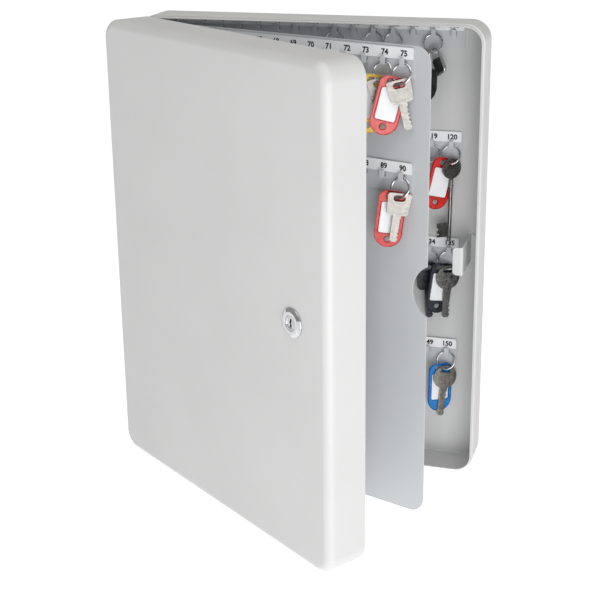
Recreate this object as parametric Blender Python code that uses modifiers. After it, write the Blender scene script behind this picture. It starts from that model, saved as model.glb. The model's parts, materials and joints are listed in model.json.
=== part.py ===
"""Wall key cabinet for 150 keys: a pressed-steel case with four rows of numbered hooks, a hinged
key leaf with hooks on both faces, and a deep door with a cam lock, shown open with key sets hung.

Origin: centre of the case's rear face. +X is right seen from the front, -Y is the front, +Z is up.
Every piece is drawn as it lies with the cabinet closed, then its body is turned open on its axis.
"""

import math

import bmesh
import bpy
from mathutils import Matrix, Vector

MM = 0.001
GAP = 0.3 * MM

# Cabinet shell
WIDTH = 370 * MM
HEIGHT = 488 * MM
CASE_DEPTH = 40 * MM
DOOR_DEPTH = 45 * MM
SHEET = 1.0 * MM
CORNER_RADIUS = 20 * MM
CASE_EDGE_RADIUS = 2.5 * MM
DOOR_EDGE_RADIUS = 9 * MM
SHOULDER = 2.2 * MM
LIP_HEIGHT = 4.5 * MM
RIM_GAP = 0.4 * MM
SCREW_HOLE_RADIUS = 3 * MM
SCREW_HOLE_X = 95 * MM
SCREW_HOLE_Z = 185 * MM

# Door hinges
DOOR_OPEN = math.radians(35)
DOOR_AXIS = Vector((-WIDTH / 2 - 0.7 * MM, -CASE_DEPTH - RIM_GAP / 2, 0))
KNUCKLE_RADIUS = 3.0 * MM
HINGE_PIN_RADIUS = 1.5 * MM
HINGE_PLATE = 1.0 * MM
HINGE_REACH = 26 * MM
HINGE_HALF_HEIGHT = 25 * MM
HINGE_Z = 165 * MM
DOOR_KNUCKLE_HALF = 8.7 * MM

# Key leaf
LEAF_OPEN = math.radians(18.7)
LEAF_AXIS = Vector((-173 * MM, -42.5 * MM, 0))
LEAF_WIDTH = 344.5 * MM
LEAF_HALF_HEIGHT = 238 * MM
LEAF_SHEET = 1.2 * MM
LEAF_CORNER = 16 * MM
LEAF_BARREL_HALF = 222 * MM
LEAF_CORNER_CUT = 10 * MM
NOTCH_DEPTH = 16 * MM
NOTCH_HALF = 26 * MM
EAR_SHEET = 1.2 * MM
EAR_FLANGE = 18 * MM

# Hooks and number strips
PITCH = 21 * MM
HOOKS = 15
HOOK_WIDTH = 5 * MM
HOOK_REACH = 5 * MM
HOOK_HEIGHT = 7.5 * MM
RAIL_SHEET = 1.0 * MM
RAIL_MARGIN = 11 * MM
RAIL_TOP = 15.7 * MM
RAIL_FOOT = 12 * MM
WINDOW_TOP = 11 * MM
STRIP_HEIGHT = 11 * MM
STRIP_BOTTOM = 6.0 * MM
STRIP_SHEET = 0.4 * MM
CASE_ROWS = [225.5 * MM - i * 116 * MM for i in range(4)]
LEAF_ROWS = [219 * MM, 110 * MM]
LEAF_FIRST_HOOK = 23 * MM
DOOR_ROWS = [200 * MM, 91 * MM]

# Cam lock and keeper
LOCK_X = WIDTH / 2 - 50.6 * MM
LOCK_FACE = 3.0 * MM
BEZEL_RADIUS = 14.2 * MM
BARREL_RADIUS = 9.5 * MM
BARREL_LENGTH = 28 * MM
PLUG_RADIUS = 6.0 * MM
PLUG_HEAD_RADIUS = 7.0 * MM
PLUG_HEAD = 2.0 * MM
TAIL = 7.0 * MM
CAM_SHEET = 1.8 * MM
CAM_WIDTH = 14 * MM
CAM_REACH = 33 * MM
CAM_CRANK = 7.2 * MM
KEEPER_SHEET = 1.2 * MM
KEEPER_WEB_X = 170 * MM
KEEPER_FRONT = 52.4 * MM
KEEPER_Z = 1 * MM
KEEPER_HALF = 15 * MM

# Key sets
RING_RADIUS = 9.6 * MM
RING_WIRE = 0.8 * MM
RING_LEAN = math.radians(20)
TAG_TURN = math.radians(34)
KEY_TURN = math.radians(42)
TAG_WIDTH = 27 * MM
TAG_LENGTH = 56 * MM
TAG_THICKNESS = 2.2 * MM
EYE_WIDTH = 12 * MM
EYE_HEIGHT = 6 * MM

DOOR_FACE = -CASE_DEPTH - DOOR_DEPTH
LOCK_BACK = DOOR_FACE + BARREL_LENGTH


def clear_scene():
    for obj in list(bpy.data.objects):
        bpy.data.objects.remove(obj, do_unlink=True)


def new_collection(name):
    group = bpy.data.collections.new(name)
    bpy.context.scene.collection.children.link(group)
    return group


def finish(name, color, metallic, roughness, alpha=1.0):
    mat = bpy.data.materials.new(name)
    mat.use_nodes = True
    shader = mat.node_tree.nodes["Principled BSDF"]
    shader.inputs["Base Color"].default_value = (*color, 1.0)
    shader.inputs["Metallic"].default_value = metallic
    shader.inputs["Roughness"].default_value = roughness
    shader.inputs["Alpha"].default_value = alpha
    return mat


def arc(cx, cy, radius, start, end, steps):
    """Points on an arc, angles in degrees, both ends included."""
    angles = [math.radians(start + (end - start) * i / steps) for i in range(steps + 1)]
    return [(cx + radius * math.cos(a), cy + radius * math.sin(a)) for a in angles]


def rounded_box_outline(width, height, radius, steps=4, cx=0.0, cy=0.0):
    x, y = width / 2 - radius, height / 2 - radius
    corners = [(x, y, 0), (-x, y, 90), (-x, -y, 180), (x, -y, 270)]
    return [p for px, py, a in corners for p in arc(cx + px, cy + py, radius, a, a + 90, steps)]


def plate(outlines, thickness):
    """A flat sheet in the XY plane, centred on Z = 0. Outlines inside the first one are holes."""
    curve = bpy.data.curves.new("outline", "CURVE")
    curve.dimensions = "2D"
    curve.fill_mode = "BOTH"
    curve.extrude = thickness / 2
    for outline in outlines:
        spline = curve.splines.new("POLY")
        spline.points.add(len(outline) - 1)
        for point, (x, y) in zip(spline.points, outline):
            point.co = (x, y, 0, 1)
        spline.use_cyclic_u = True
    obj = bpy.data.objects.new("outline", curve)
    bpy.context.scene.collection.objects.link(obj)
    depsgraph = bpy.context.evaluated_depsgraph_get()
    mesh = bpy.data.meshes.new_from_object(obj.evaluated_get(depsgraph))
    bpy.data.objects.remove(obj, do_unlink=True)
    bpy.data.curves.remove(curve)
    bm = bmesh.new()
    bm.from_mesh(mesh)
    bmesh.ops.remove_doubles(bm, verts=bm.verts, dist=1e-6)
    bmesh.ops.recalc_face_normals(bm, faces=bm.faces)
    bm.to_mesh(mesh)
    bm.free()
    mesh.materials.clear()
    return mesh


def box(low, high):
    """A box mesh between two corners."""
    bm = bmesh.new()
    bmesh.ops.create_cube(bm, size=1.0)
    low, high = Vector(low), Vector(high)
    bmesh.ops.scale(bm, vec=high - low, verts=bm.verts)
    bmesh.ops.translate(bm, vec=(high + low) / 2, verts=bm.verts)
    mesh = bpy.data.meshes.new("box")
    bm.to_mesh(mesh)
    bm.free()
    return mesh


def cylinder(radius, low, high, steps=24):
    """A cylinder mesh on the Z axis."""
    bm = bmesh.new()
    bmesh.ops.create_cone(
        bm, cap_ends=True, segments=steps, radius1=radius, radius2=radius, depth=high - low
    )
    bmesh.ops.translate(bm, vec=(0, 0, (low + high) / 2), verts=bm.verts)
    mesh = bpy.data.meshes.new("cylinder")
    bm.to_mesh(mesh)
    bm.free()
    return mesh


TOWARDS_FRONT = Matrix.Rotation(math.radians(90), 4, "X")  # turns +Z to -Y and +Y to +Z


class Body:
    """A rigid group: an empty on the joint's axis, turned open, that carries its pieces."""

    def __init__(self, name, axis=(0, 0, 0), parent=None):
        self.axis = Vector(axis)
        self.parent = parent
        self.empty = bpy.data.objects.new(name, None)
        self.empty.empty_display_size = 0.02
        PARTS.objects.link(self.empty)
        self.empty.location = self.axis
        if parent:
            self.empty.parent = parent.empty
            self.empty.location = self.axis - parent.axis

    def turn(self, angle, direction="Z"):
        setattr(self.empty.rotation_euler, direction.lower(), angle)

    def add(self, name, mesh, mat, place=None):
        """A piece whose mesh is placed, with the cabinet closed, by a matrix in cabinet space."""
        mesh.name = name
        if place is not None:
            mesh.transform(place)
        mesh.materials.append(mat)
        mesh.shade_smooth()
        mesh.set_sharp_from_angle(angle=math.radians(35))
        obj = bpy.data.objects.new(name, mesh)
        PARTS.objects.link(obj)
        obj.parent = self.empty
        obj.location = -self.axis
        return obj


def cut(obj, mesh, place=None, operation="DIFFERENCE"):
    """Cuts or joins a hidden tool shape, given in cabinet space like the piece itself."""
    if place is not None:
        mesh.transform(place)
    tool = bpy.data.objects.new(f"{obj.name}_tool", mesh)
    CUTTERS.objects.link(tool)
    tool.hide_render = True
    tool.display_type = "WIRE"
    tool.parent = obj.parent
    tool.location = obj.location
    modifier = obj.modifiers.new("cut", "BOOLEAN")
    modifier.operation = operation
    modifier.object = tool
    modifier.solver = "EXACT"
    return tool


def at(x=0.0, y=0.0, z=0.0):
    return Matrix.Translation((x, y, z))


def turned(body, name, profile, mat, place, steps=24):
    """A closed (radius, height) section turned about Z, then placed."""
    bm = bmesh.new()
    verts = [bm.verts.new((r, 0, z)) for r, z in profile]
    edges = [bm.edges.new(pair) for pair in zip(verts, verts[1:] + verts[:1])]
    bmesh.ops.spin(
        bm, geom=verts + edges, cent=(0, 0, 0), axis=(0, 0, 1), angle=math.tau,
        steps=steps, use_merge=True,
    )
    bmesh.ops.remove_doubles(bm, verts=bm.verts, dist=1e-6)
    loose = [e for e in bm.edges if not e.link_faces]
    bmesh.ops.delete(bm, geom=loose, context="EDGES")
    bmesh.ops.recalc_face_normals(bm, faces=bm.faces)
    mesh = bpy.data.meshes.new(name)
    bm.to_mesh(mesh)
    bm.free()
    return body.add(name, mesh, mat, place)


def tray(front, back, closed_y, edge_radius, edge_steps, lip=False):
    """The outer skin of a drawn tray: rounded corners, one closed end with rounded edges."""
    bm = bmesh.new()
    bmesh.ops.create_cube(bm, size=1.0)
    bmesh.ops.scale(bm, vec=(WIDTH, back - front, HEIGHT), verts=bm.verts)
    bmesh.ops.translate(bm, vec=(0, (front + back) / 2, 0), verts=bm.verts)
    deep = [e for e in bm.edges if abs(e.verts[0].co.y - e.verts[1].co.y) > MM]
    bmesh.ops.bevel(
        bm, geom=deep, offset=CORNER_RADIUS, segments=6, profile=0.5, affect="EDGES",
        material=-1, offset_type="OFFSET",
    )
    rim = [e for e in bm.edges if all(abs(v.co.y - closed_y) < 1e-6 for v in e.verts)]
    bmesh.ops.bevel(
        bm, geom=rim, offset=edge_radius, segments=edge_steps, profile=0.5, affect="EDGES",
        material=-1, offset_type="OFFSET",
    )
    open_y = front if closed_y == back else back
    mouth = [f for f in bm.faces if all(abs(v.co.y - open_y) < 1e-6 for v in f.verts)]
    if lip:
        bmesh.ops.inset_region(bm, faces=mouth, thickness=SHOULDER, use_even_offset=True)
        raised = bmesh.ops.extrude_face_region(bm, geom=mouth)["geom"]
        corners = [v for v in raised if isinstance(v, bmesh.types.BMVert)]
        bmesh.ops.translate(bm, vec=(0, -LIP_HEIGHT, 0), verts=corners)
        bmesh.ops.delete(bm, geom=mouth, context="FACES")
        mouth = [f for f in raised if isinstance(f, bmesh.types.BMFace)]
    bmesh.ops.delete(bm, geom=mouth, context="FACES")
    loose = [v for v in bm.verts if not v.link_faces]
    bmesh.ops.delete(bm, geom=loose, context="VERTS")
    mesh = bpy.data.meshes.new("tray")
    bm.to_mesh(mesh)
    bm.free()
    return mesh


def thicken(obj, thickness):
    modifier = obj.modifiers.new("sheet", "SOLIDIFY")
    modifier.thickness = thickness
    modifier.offset = -1
    modifier.use_even_offset = True


def hinge_cut_outs(obj, low_y, high_y, inner_x):
    for side in (1, -1):
        z = side * HINGE_Z
        half = HINGE_HALF_HEIGHT + MM
        cut(obj, box((-WIDTH, low_y, z - half), (inner_x, high_y, z + half)))


def make_case(case, steel):
    pan = case.add("case_pan", tray(-CASE_DEPTH, 0, 0, CASE_EDGE_RADIUS, 2, lip=True), steel)
    thicken(pan, SHEET)
    inside_lip = -WIDTH / 2 + SHOULDER + SHEET + MM
    hinge_cut_outs(pan, -CASE_DEPTH - 2 * LIP_HEIGHT, -CASE_DEPTH + 5 * MM, inside_lip)
    for x in (-SCREW_HOLE_X, SCREW_HOLE_X):
        for z in (-SCREW_HOLE_Z, SCREW_HOLE_Z):
            hole = cylinder(SCREW_HOLE_RADIUS, -5 * MM, 5 * MM, 16)
            cut(pan, hole, at(x, 0, z) @ TOWARDS_FRONT)


def make_door(door, steel):
    rim = -CASE_DEPTH - RIM_GAP
    pan = door.add("door_pan", tray(DOOR_FACE, rim, DOOR_FACE, DOOR_EDGE_RADIUS, 4), steel)
    thicken(pan, SHEET)
    hinge_cut_outs(pan, rim - 5 * MM, rim + 5 * MM, -WIDTH / 2 + SHEET + 0.3 * MM)
    hole = cylinder(BARREL_RADIUS + 0.4 * MM, -5 * MM, 5 * MM)
    cut(pan, hole, at(LOCK_X, DOOR_FACE, 0) @ TOWARDS_FRONT)


def hinge_outline(direction):
    """A strip tangent to the knuckle, seen along the pin; direction +1 runs back, -1 forward."""
    inner = KNUCKLE_RADIUS - HINGE_PLATE
    meet = math.degrees(math.acos(inner / KNUCKLE_RADIUS))
    points = arc(0, 0, KNUCKLE_RADIUS, meet, 360, 14)
    points += [(KNUCKLE_RADIUS, HINGE_REACH), (inner, HINGE_REACH)]
    return [(x, direction * y) for x, y in points]


def make_hinge(case, door, name, z, metal):
    tall = 2 * HINGE_HALF_HEIGHT
    place = at(*DOOR_AXIS) @ at(z=z)
    hole = cylinder(HINGE_PIN_RADIUS + GAP, -tall, tall, 16)
    reach = KNUCKLE_RADIUS + GAP
    half = DOOR_KNUCKLE_HALF + GAP

    fixed = case.add(f"{name}_case_plate", plate([hinge_outline(1)], tall), metal, place)
    cut(fixed, hole.copy(), place)
    cut(fixed, box((-reach, -reach, -half), (reach, reach, half)), place)

    moving = door.add(f"{name}_door_plate", plate([hinge_outline(-1)], tall), metal, place)
    cut(moving, hole.copy(), place)
    for side in (1, -1):
        ends = sorted((side * DOOR_KNUCKLE_HALF, side * tall))
        cut(moving, box((-reach, -reach, ends[0]), (reach, reach, ends[1])), place)

    pin_half = HINGE_HALF_HEIGHT + MM
    case.add(f"{name}_pin", cylinder(HINGE_PIN_RADIUS, -pin_half, pin_half, 14), metal, place)


def leaf_outline():
    """The leaf's sheet seen from the front, from its axis at x = 0 to its free edge."""
    top, right, cut_x = LEAF_HALF_HEIGHT, LEAF_WIDTH, LEAF_CORNER_CUT
    radius = (NOTCH_HALF**2 + NOTCH_DEPTH**2) / (2 * NOTCH_DEPTH)
    centre = right - NOTCH_DEPTH + radius
    spread = math.degrees(math.asin(NOTCH_HALF / radius))
    in_x, in_z = right - LEAF_CORNER, top - LEAF_CORNER
    points = [(cut_x, -top)] + arc(in_x, -in_z, LEAF_CORNER, 270, 360, 6)
    points += arc(centre, KEEPER_Z, radius, 180 + spread, 180 - spread, 12)
    points += arc(in_x, in_z, LEAF_CORNER, 0, 90, 6) + [(cut_x, top)]
    joined = LEAF_BARREL_HALF - MM
    return points + [(cut_x, joined), (0.1 * MM, joined), (0.1 * MM, -joined), (cut_x, -joined)]


def make_leaf(leaf, steel):
    place = at(*LEAF_AXIS)
    panel = leaf.add("key_leaf", plate([leaf_outline()], LEAF_SHEET), steel, place @ TOWARDS_FRONT)
    rolled = cylinder(KNUCKLE_RADIUS, -LEAF_BARREL_HALF, LEAF_BARREL_HALF, 16)
    cut(panel, rolled, place, "UNION")
    for side in (1, -1):
        ends = sorted((side * (LEAF_BARREL_HALF - 14 * MM), side * HEIGHT))
        cut(panel, cylinder(HINGE_PIN_RADIUS + GAP, *ends, 16), place)


def make_leaf_pivots(case, metal):
    """Ears welded inside the case's left wall; each carries a pin that enters the leaf's edge."""
    wall = -WIDTH / 2 + SHEET + GAP - LEAF_AXIS.x
    back = 22 * MM
    outline = [(wall, back), (wall, 6.5 * MM), (-8 * MM, 3.5 * MM)]
    outline += arc(0, 0, 5 * MM, 180, 360, 8) + [(4 * MM, 8 * MM), (-6 * MM, back)]
    hole = arc(0, 0, HINGE_PIN_RADIUS + GAP, 0, 345, 15)
    low = LEAF_BARREL_HALF + 0.6 * MM
    for word, side in (("upper", 1), ("lower", -1)):
        place = at(*LEAF_AXIS) @ Matrix.Diagonal((1, 1, side, 1))
        ear = plate([outline, hole], EAR_SHEET)
        ear.transform(place @ at(z=low + EAR_SHEET / 2))
        if side < 0:
            ear.flip_normals()
        ear_obj = case.add(f"leaf_pivot_bracket_{word}", ear, metal)
        ends = sorted((side * (low + EAR_SHEET / 2), side * (low - EAR_FLANGE)))
        flange_low = LEAF_AXIS + Vector((wall, 7 * MM, ends[0]))
        flange_high = LEAF_AXIS + Vector((wall + EAR_SHEET, back, ends[1]))
        cut(ear_obj, box(flange_low, flange_high), operation="UNION")
        profile = [(0, low - 12 * MM), (HINGE_PIN_RADIUS, low - 12 * MM)]
        profile += [(HINGE_PIN_RADIUS, low + EAR_SHEET + GAP)]
        profile += [(2.6 * MM, low + EAR_SHEET + GAP), (2.6 * MM, low + 2.6 * MM)]
        profile += [(0, low + 2.6 * MM)]
        pin = [(r, side * z) for r, z in profile]
        turned(case, f"leaf_pivot_pin_{word}", pin, metal, at(*LEAF_AXIS), 14)


def along_row(x, panel_y, z, facing):
    """Takes (along, stand-off, up) to cabinet space; facing -1 looks forward, +1 looks back."""
    turn = Matrix(((facing, 0, 0, x), (0, facing, 0, panel_y), (0, 0, 1, z), (0, 0, 0, 1)))
    return turn @ at(y=GAP)


def hook_plate(rows):
    """A plate with a row of hooks at each height in rows, drawn (along, stand-off, up)."""
    half = (HOOKS - 1) * PITCH / 2 + RAIL_MARGIN
    centres = [(i - (HOOKS - 1) / 2) * PITCH for i in range(HOOKS)]
    columns = sorted(c + side * HOOK_WIDTH / 2 for c in centres for side in (-1, 1))
    columns = [-half] + columns + [half]
    heights = [rows[0] + RAIL_TOP]
    for row in rows:
        heights += [row + RAIL_SHEET, row]
    heights = sorted(heights + [rows[-1] - RAIL_FOOT])
    bm = bmesh.new()
    grid = [[bm.verts.new((x, RAIL_SHEET, z)) for x in columns] for z in heights]
    legs = []
    for i, (low, high) in enumerate(zip(grid, grid[1:])):
        for j in range(len(columns) - 1):
            face = bm.faces.new((low[j], low[j + 1], high[j + 1], high[j]))
            if i % 2 == 1 and j % 2 == 1:
                legs.append(face)
    raised = bmesh.ops.extrude_face_region(bm, geom=bm.faces[:], use_keep_orig=True)["geom"]
    rear = [v for v in raised if isinstance(v, bmesh.types.BMVert)]
    bmesh.ops.translate(bm, vec=(0, -RAIL_SHEET, 0), verts=rear)
    for reach in (HOOK_REACH - RAIL_SHEET, RAIL_SHEET):
        legs = bmesh.ops.extrude_discrete_faces(bm, faces=legs)["faces"]
        bmesh.ops.translate(bm, vec=(0, reach, 0), verts=[v for f in legs for v in f.verts])
    bm.normal_update()
    bmesh.ops.recalc_face_normals(bm, faces=bm.faces)
    end = HOOK_REACH + RAIL_SHEET / 2
    tops = [
        f for f in bm.faces
        if f.normal.z > 0.9 and abs(f.calc_center_median().y - end) < 0.1 * MM
    ]
    arms = bmesh.ops.extrude_discrete_faces(bm, faces=tops)["faces"]
    bmesh.ops.translate(
        bm, vec=(0, 0, HOOK_HEIGHT - RAIL_SHEET), verts=[v for f in arms for v in f.verts]
    )
    bmesh.ops.dissolve_limit(bm, angle_limit=0.01, verts=bm.verts, edges=bm.edges)
    bmesh.ops.recalc_face_normals(bm, faces=bm.faces)
    mesh = bpy.data.meshes.new("hook_plate")
    bm.to_mesh(mesh)
    bm.free()
    return mesh


def make_hook_rows(body, name, x, panel_y, rows, facing, steel, paper=None):
    """A plate with hooks lanced and bent out of it, and a number strip over each row."""
    place = along_row(x, panel_y, 0, facing)
    plate_obj = body.add(f"{name}_hooks", hook_plate(rows), steel, place)
    half = (HOOKS - 1) * PITCH / 2
    inset = HOOK_WIDTH / 2 - 0.3 * MM
    for row in rows:
        low = row + RAIL_SHEET + 0.3 * MM
        window = box((-half - inset, -MM, low), (-half + inset, 2 * MM, row + WINDOW_TOP))
        tool = cut(plate_obj, window, place)
        repeat = tool.modifiers.new("repeat", "ARRAY")
        repeat.count = HOOKS
        repeat.use_relative_offset = False
        repeat.use_constant_offset = True
        repeat.constant_offset_displace = place.to_3x3() @ Vector((PITCH, 0, 0))
        if paper:
            end = half + RAIL_MARGIN - MM
            front = RAIL_SHEET + GAP
            corner = (end, front + STRIP_SHEET, row + STRIP_BOTTOM + STRIP_HEIGHT)
            strip = box((-end, front, row + STRIP_BOTTOM), corner)
            body.add(f"{name}_number_strip", strip, paper, place)


def make_keeper(case, steel):
    """A folded strip: foot on the case's back, web forward, and a flange the cam turns behind."""
    t, web, front = KEEPER_SHEET, KEEPER_WEB_X, -KEEPER_FRONT
    back = -SHEET - GAP
    outline = [(web - t, back), (web + 11 * MM, back), (web + 11 * MM, back - t)]
    outline += [(web, back - t), (web, front), (web - 10.5 * MM, front)]
    outline += [(web - 10.5 * MM, front + t), (web - t, front + t)]
    mesh = plate([outline], 2 * KEEPER_HALF)
    bm = bmesh.new()
    bm.from_mesh(mesh)
    tip = [
        e for e in bm.edges
        if all(v.co.x < web - 10 * MM for v in e.verts)
        and abs(e.verts[0].co.y - e.verts[1].co.y) > 0.5 * MM
    ]
    bmesh.ops.bevel(
        bm, geom=tip, offset=4 * MM, segments=4, profile=0.5, affect="EDGES", material=-1,
        offset_type="OFFSET",
    )
    bm.to_mesh(mesh)
    bm.free()
    case.add("lock_keeper", mesh, steel, at(z=KEEPER_Z))


def make_lock(door, cylinder_body, chrome, steel):
    """Heights run from the door's face: + is out of the door, - is into the cabinet."""
    place = at(LOCK_X, DOOR_FACE, 0) @ TOWARDS_FRONT
    bore, head = PLUG_RADIUS + GAP, PLUG_HEAD_RADIUS + GAP
    face, end = LOCK_FACE, -BARREL_LENGTH
    seat = face - PLUG_HEAD - 2 * GAP
    body = [(bore, end), (BARREL_RADIUS, end), (BARREL_RADIUS, GAP), (BEZEL_RADIUS, GAP)]
    body += [(BEZEL_RADIUS, 1.2 * MM), (BEZEL_RADIUS - 3.4 * MM, face), (head, face)]
    body += [(head, seat), (bore, seat)]
    turned(door, "lock_body", body, chrome, place, 28)

    flats = arc(0, 0, 14 * MM, 0, 300, 5)
    hole = arc(0, 0, BARREL_RADIUS + GAP, 0, 345, 23)
    nut = plate([flats, hole], 4.5 * MM)
    door.add("lock_nut", nut, steel, place @ at(z=-SHEET - GAP - 2.25 * MM))

    shoulder, tail_end = end - GAP, end - 2 * GAP - CAM_SHEET + 0.5 * MM
    plug = [(0, shoulder), (PLUG_RADIUS, shoulder), (PLUG_RADIUS, seat + GAP)]
    plug += [(PLUG_HEAD_RADIUS, seat + GAP), (PLUG_HEAD_RADIUS, face - GAP), (0, face - GAP)]
    core = turned(cylinder_body, "lock_plug", plug, chrome, place, 24)
    tail = box((-TAIL / 2, -TAIL / 2, tail_end), (TAIL / 2, TAIL / 2, end + 4 * MM))
    cut(core, tail, place, "UNION")
    keyway = box((-0.9 * MM, -4.2 * MM, -16 * MM), (0.9 * MM, 4.2 * MM, 10 * MM))
    cut(core, keyway, place)
    cut(core, cylinder(2.3 * MM, 2 * end, end + 6 * MM, 14), place)

    # The cam stands up when unlocked: x is depth into the cabinet, y is up its length.
    near = -end + 2 * GAP
    far = near + CAM_SHEET
    strap = [(near, -8 * MM), (far, -8 * MM), (far, 11 * MM)]
    strap += [(far + CAM_CRANK, 15 * MM), (far + CAM_CRANK, CAM_REACH)]
    strap += [(near + CAM_CRANK, CAM_REACH), (near + CAM_CRANK, 16 * MM), (near, 12 * MM)]
    lay = Matrix(((0, 0, 1, 0), (0, 1, 0, 0), (-1, 0, 0, 0), (0, 0, 0, 1)))
    cam_mesh = plate([strap], CAM_WIDTH)
    cam = cylinder_body.add("lock_cam", cam_mesh, steel, place @ lay)
    hole = TAIL / 2 + GAP
    cut(cam, box((-hole, -hole, 2 * end), (hole, hole, 0)), place)

    under = -far - GAP
    screw = [(0, under - 2.4 * MM), (4.5 * MM, under - 2.4 * MM), (4.5 * MM, under)]
    screw += [(2 * MM, under), (2 * MM, end + 5 * MM), (0, end + 5 * MM)]
    turned(cylinder_body, "cam_screw", screw, steel, place, 16)


def eye_outline(width=EYE_WIDTH, height=EYE_HEIGHT):
    return rounded_box_outline(width, height, height / 2 - 0.01 * MM, 3, 0, -height / 2)


def tag_mesh():
    """A key tag, y up from the top of its eye: round foot with a hole, shoulders drawn in."""
    half = TAG_WIDTH / 2
    top = 2.4 * MM
    low = top - TAG_LENGTH + half
    outline = arc(half - 8 * MM, top - 8 * MM, 8 * MM, 0, 90, 5)
    outline += arc(8 * MM - half, top - 8 * MM, 8 * MM, 90, 180, 5)
    outline += arc(0, low, half, 180, 360, 12)
    return plate([outline, eye_outline(), arc(0, low - 5 * MM, 3 * MM, 0, 330, 11)], TAG_THICKNESS)


def blade(width, start, end, teeth, bite):
    """Down one side of a key's blade, round its tip, and up the toothed side."""
    half = width / 2
    points = [(-half, start), (-half, end + 2 * MM), (-half + 2 * MM, end), (half - 2 * MM, end)]
    step = (start - end - 6 * MM) / teeth
    for i in range(teeth):
        low = end + 3 * MM + i * step
        points += [(half, low), (half - bite, low + step / 2)]
    return points + [(half, start - 3 * MM), (half, start)]


def square_key():
    """A cylinder-lock key with a squarish head and a long slot for the ring."""
    outline = arc(9 * MM, -0.5 * MM, 2.5 * MM, 0, 90, 3) + arc(-9 * MM, -0.5 * MM, 2.5 * MM, 90, 180, 3)
    outline += arc(-6.5 * MM, -16 * MM, 4 * MM, 180, 270, 3)
    outline += blade(8 * MM, -20 * MM, -46 * MM, 4, 2 * MM)
    outline += arc(6.5 * MM, -16 * MM, 4 * MM, 270, 360, 3)
    return plate([outline, eye_outline(12 * MM)], 2.0 * MM)


def round_key():
    """A cylinder-lock key with a round head."""
    radius = 13.5 * MM
    outline = arc(0, 2 * MM - radius, radius, -70, 250, 20)
    outline += blade(8.4 * MM, -25 * MM, -57 * MM, 4, 2 * MM)
    return plate([outline, eye_outline()], 2.0 * MM)


def lever_key():
    """A lever-lock key: round bow, long shank and a square bit near its foot."""
    bow = arc(0, -7.5 * MM, 11 * MM, -72, 252, 18)
    shank = [(-2 * MM, -22 * MM), (-2 * MM, -66 * MM), (-15 * MM, -66 * MM), (-15 * MM, -71 * MM)]
    shank += [(-13 * MM, -71 * MM), (-13 * MM, -74 * MM), (-15 * MM, -74 * MM)]
    shank += [(-15 * MM, -81 * MM), (-2 * MM, -81 * MM), (-2 * MM, -87 * MM)]
    shank += [(2 * MM, -87 * MM), (2 * MM, -22 * MM)]
    return plate([bow + shank, eye_outline(8.6 * MM, 4.6 * MM)], 2.2 * MM)


def moulded_key():
    """A key with a moulded oval head and a toothed blade."""
    outline = arc(4 * MM, -5 * MM, 8 * MM, 0, 90, 4) + arc(-4 * MM, -5 * MM, 8 * MM, 90, 180, 4)
    outline += arc(-7 * MM, -22 * MM, 5 * MM, 180, 270, 3)
    outline += blade(8.4 * MM, -27 * MM, -60 * MM, 4, 2 * MM)
    outline += arc(7 * MM, -22 * MM, 5 * MM, 270, 360, 3)
    return plate([outline, eye_outline(10.4 * MM)], 3.0 * MM)


def fob_frame():
    """An open metal frame that hangs slantwise from the ring."""
    outer = rounded_box_outline(17 * MM, 29 * MM, 6 * MM, 4, 0, -12.5 * MM)
    inner = rounded_box_outline(12 * MM, 24 * MM, 4 * MM, 4, 0, -12.5 * MM)
    return plate([outer, inner], 3.0 * MM)


def strap():
    """A pointed strap."""
    outline = [(-3.6 * MM, 0), (-3.6 * MM, -24 * MM), (-3.2 * MM, -32 * MM)]
    outline += [(1 * MM, -27 * MM), (3.6 * MM, -20 * MM), (3.6 * MM, 0)]
    return plate([outline], 1.6 * MM)


def hook_trough(x, panel_y, z):
    """The middle of a hook's trough, at the height of its floor."""
    stand_off = GAP + (RAIL_SHEET + HOOK_REACH) / 2
    return Vector((x, panel_y - stand_off, z + RAIL_SHEET))


def make_key_set(name, carrier, hook, ring_mat, hung):
    """A ring in a hook and what hangs on it, as one body that swings about the hook's trough.

    hook is the trough's axis with the cabinet closed. Each hung item is (word, mesh, material,
    turn, tilt, crossing, shift): turn is about the vertical, tilt swings the foot towards -X,
    crossing is where along X the ring passes its eye, shift moves it along its own axes.
    """
    top = hook + Vector((0, 0, 0.5 * MM + RING_WIRE))
    swing = Body(f"{name}_swing", top, carrier)
    lean = at(*top) @ Matrix.Rotation(-RING_LEAN, 4, "X")
    bpy.ops.mesh.primitive_torus_add(
        major_segments=20, minor_segments=6, major_radius=RING_RADIUS, minor_radius=RING_WIRE
    )
    torus = bpy.context.object
    mesh = torus.data.copy()
    bpy.data.objects.remove(torus, do_unlink=True)
    mesh.materials.clear()
    swing.add(f"{name}_ring", mesh, ring_mat, lean @ at(z=-RING_RADIUS) @ TOWARDS_FRONT)
    for word, item, mat, turn, tilt, crossing, shift in hung:
        drop = RING_RADIUS + math.sqrt(RING_RADIUS**2 - crossing**2)
        eye = lean @ Vector((crossing, 0, -drop))
        spin = Matrix.Rotation(turn, 4, "Z") @ Matrix.Rotation(tilt, 4, "Y")
        swing.add(f"{name}_{word}", item, mat, at(*eye) @ spin @ at(*shift) @ TOWARDS_FRONT)


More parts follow.
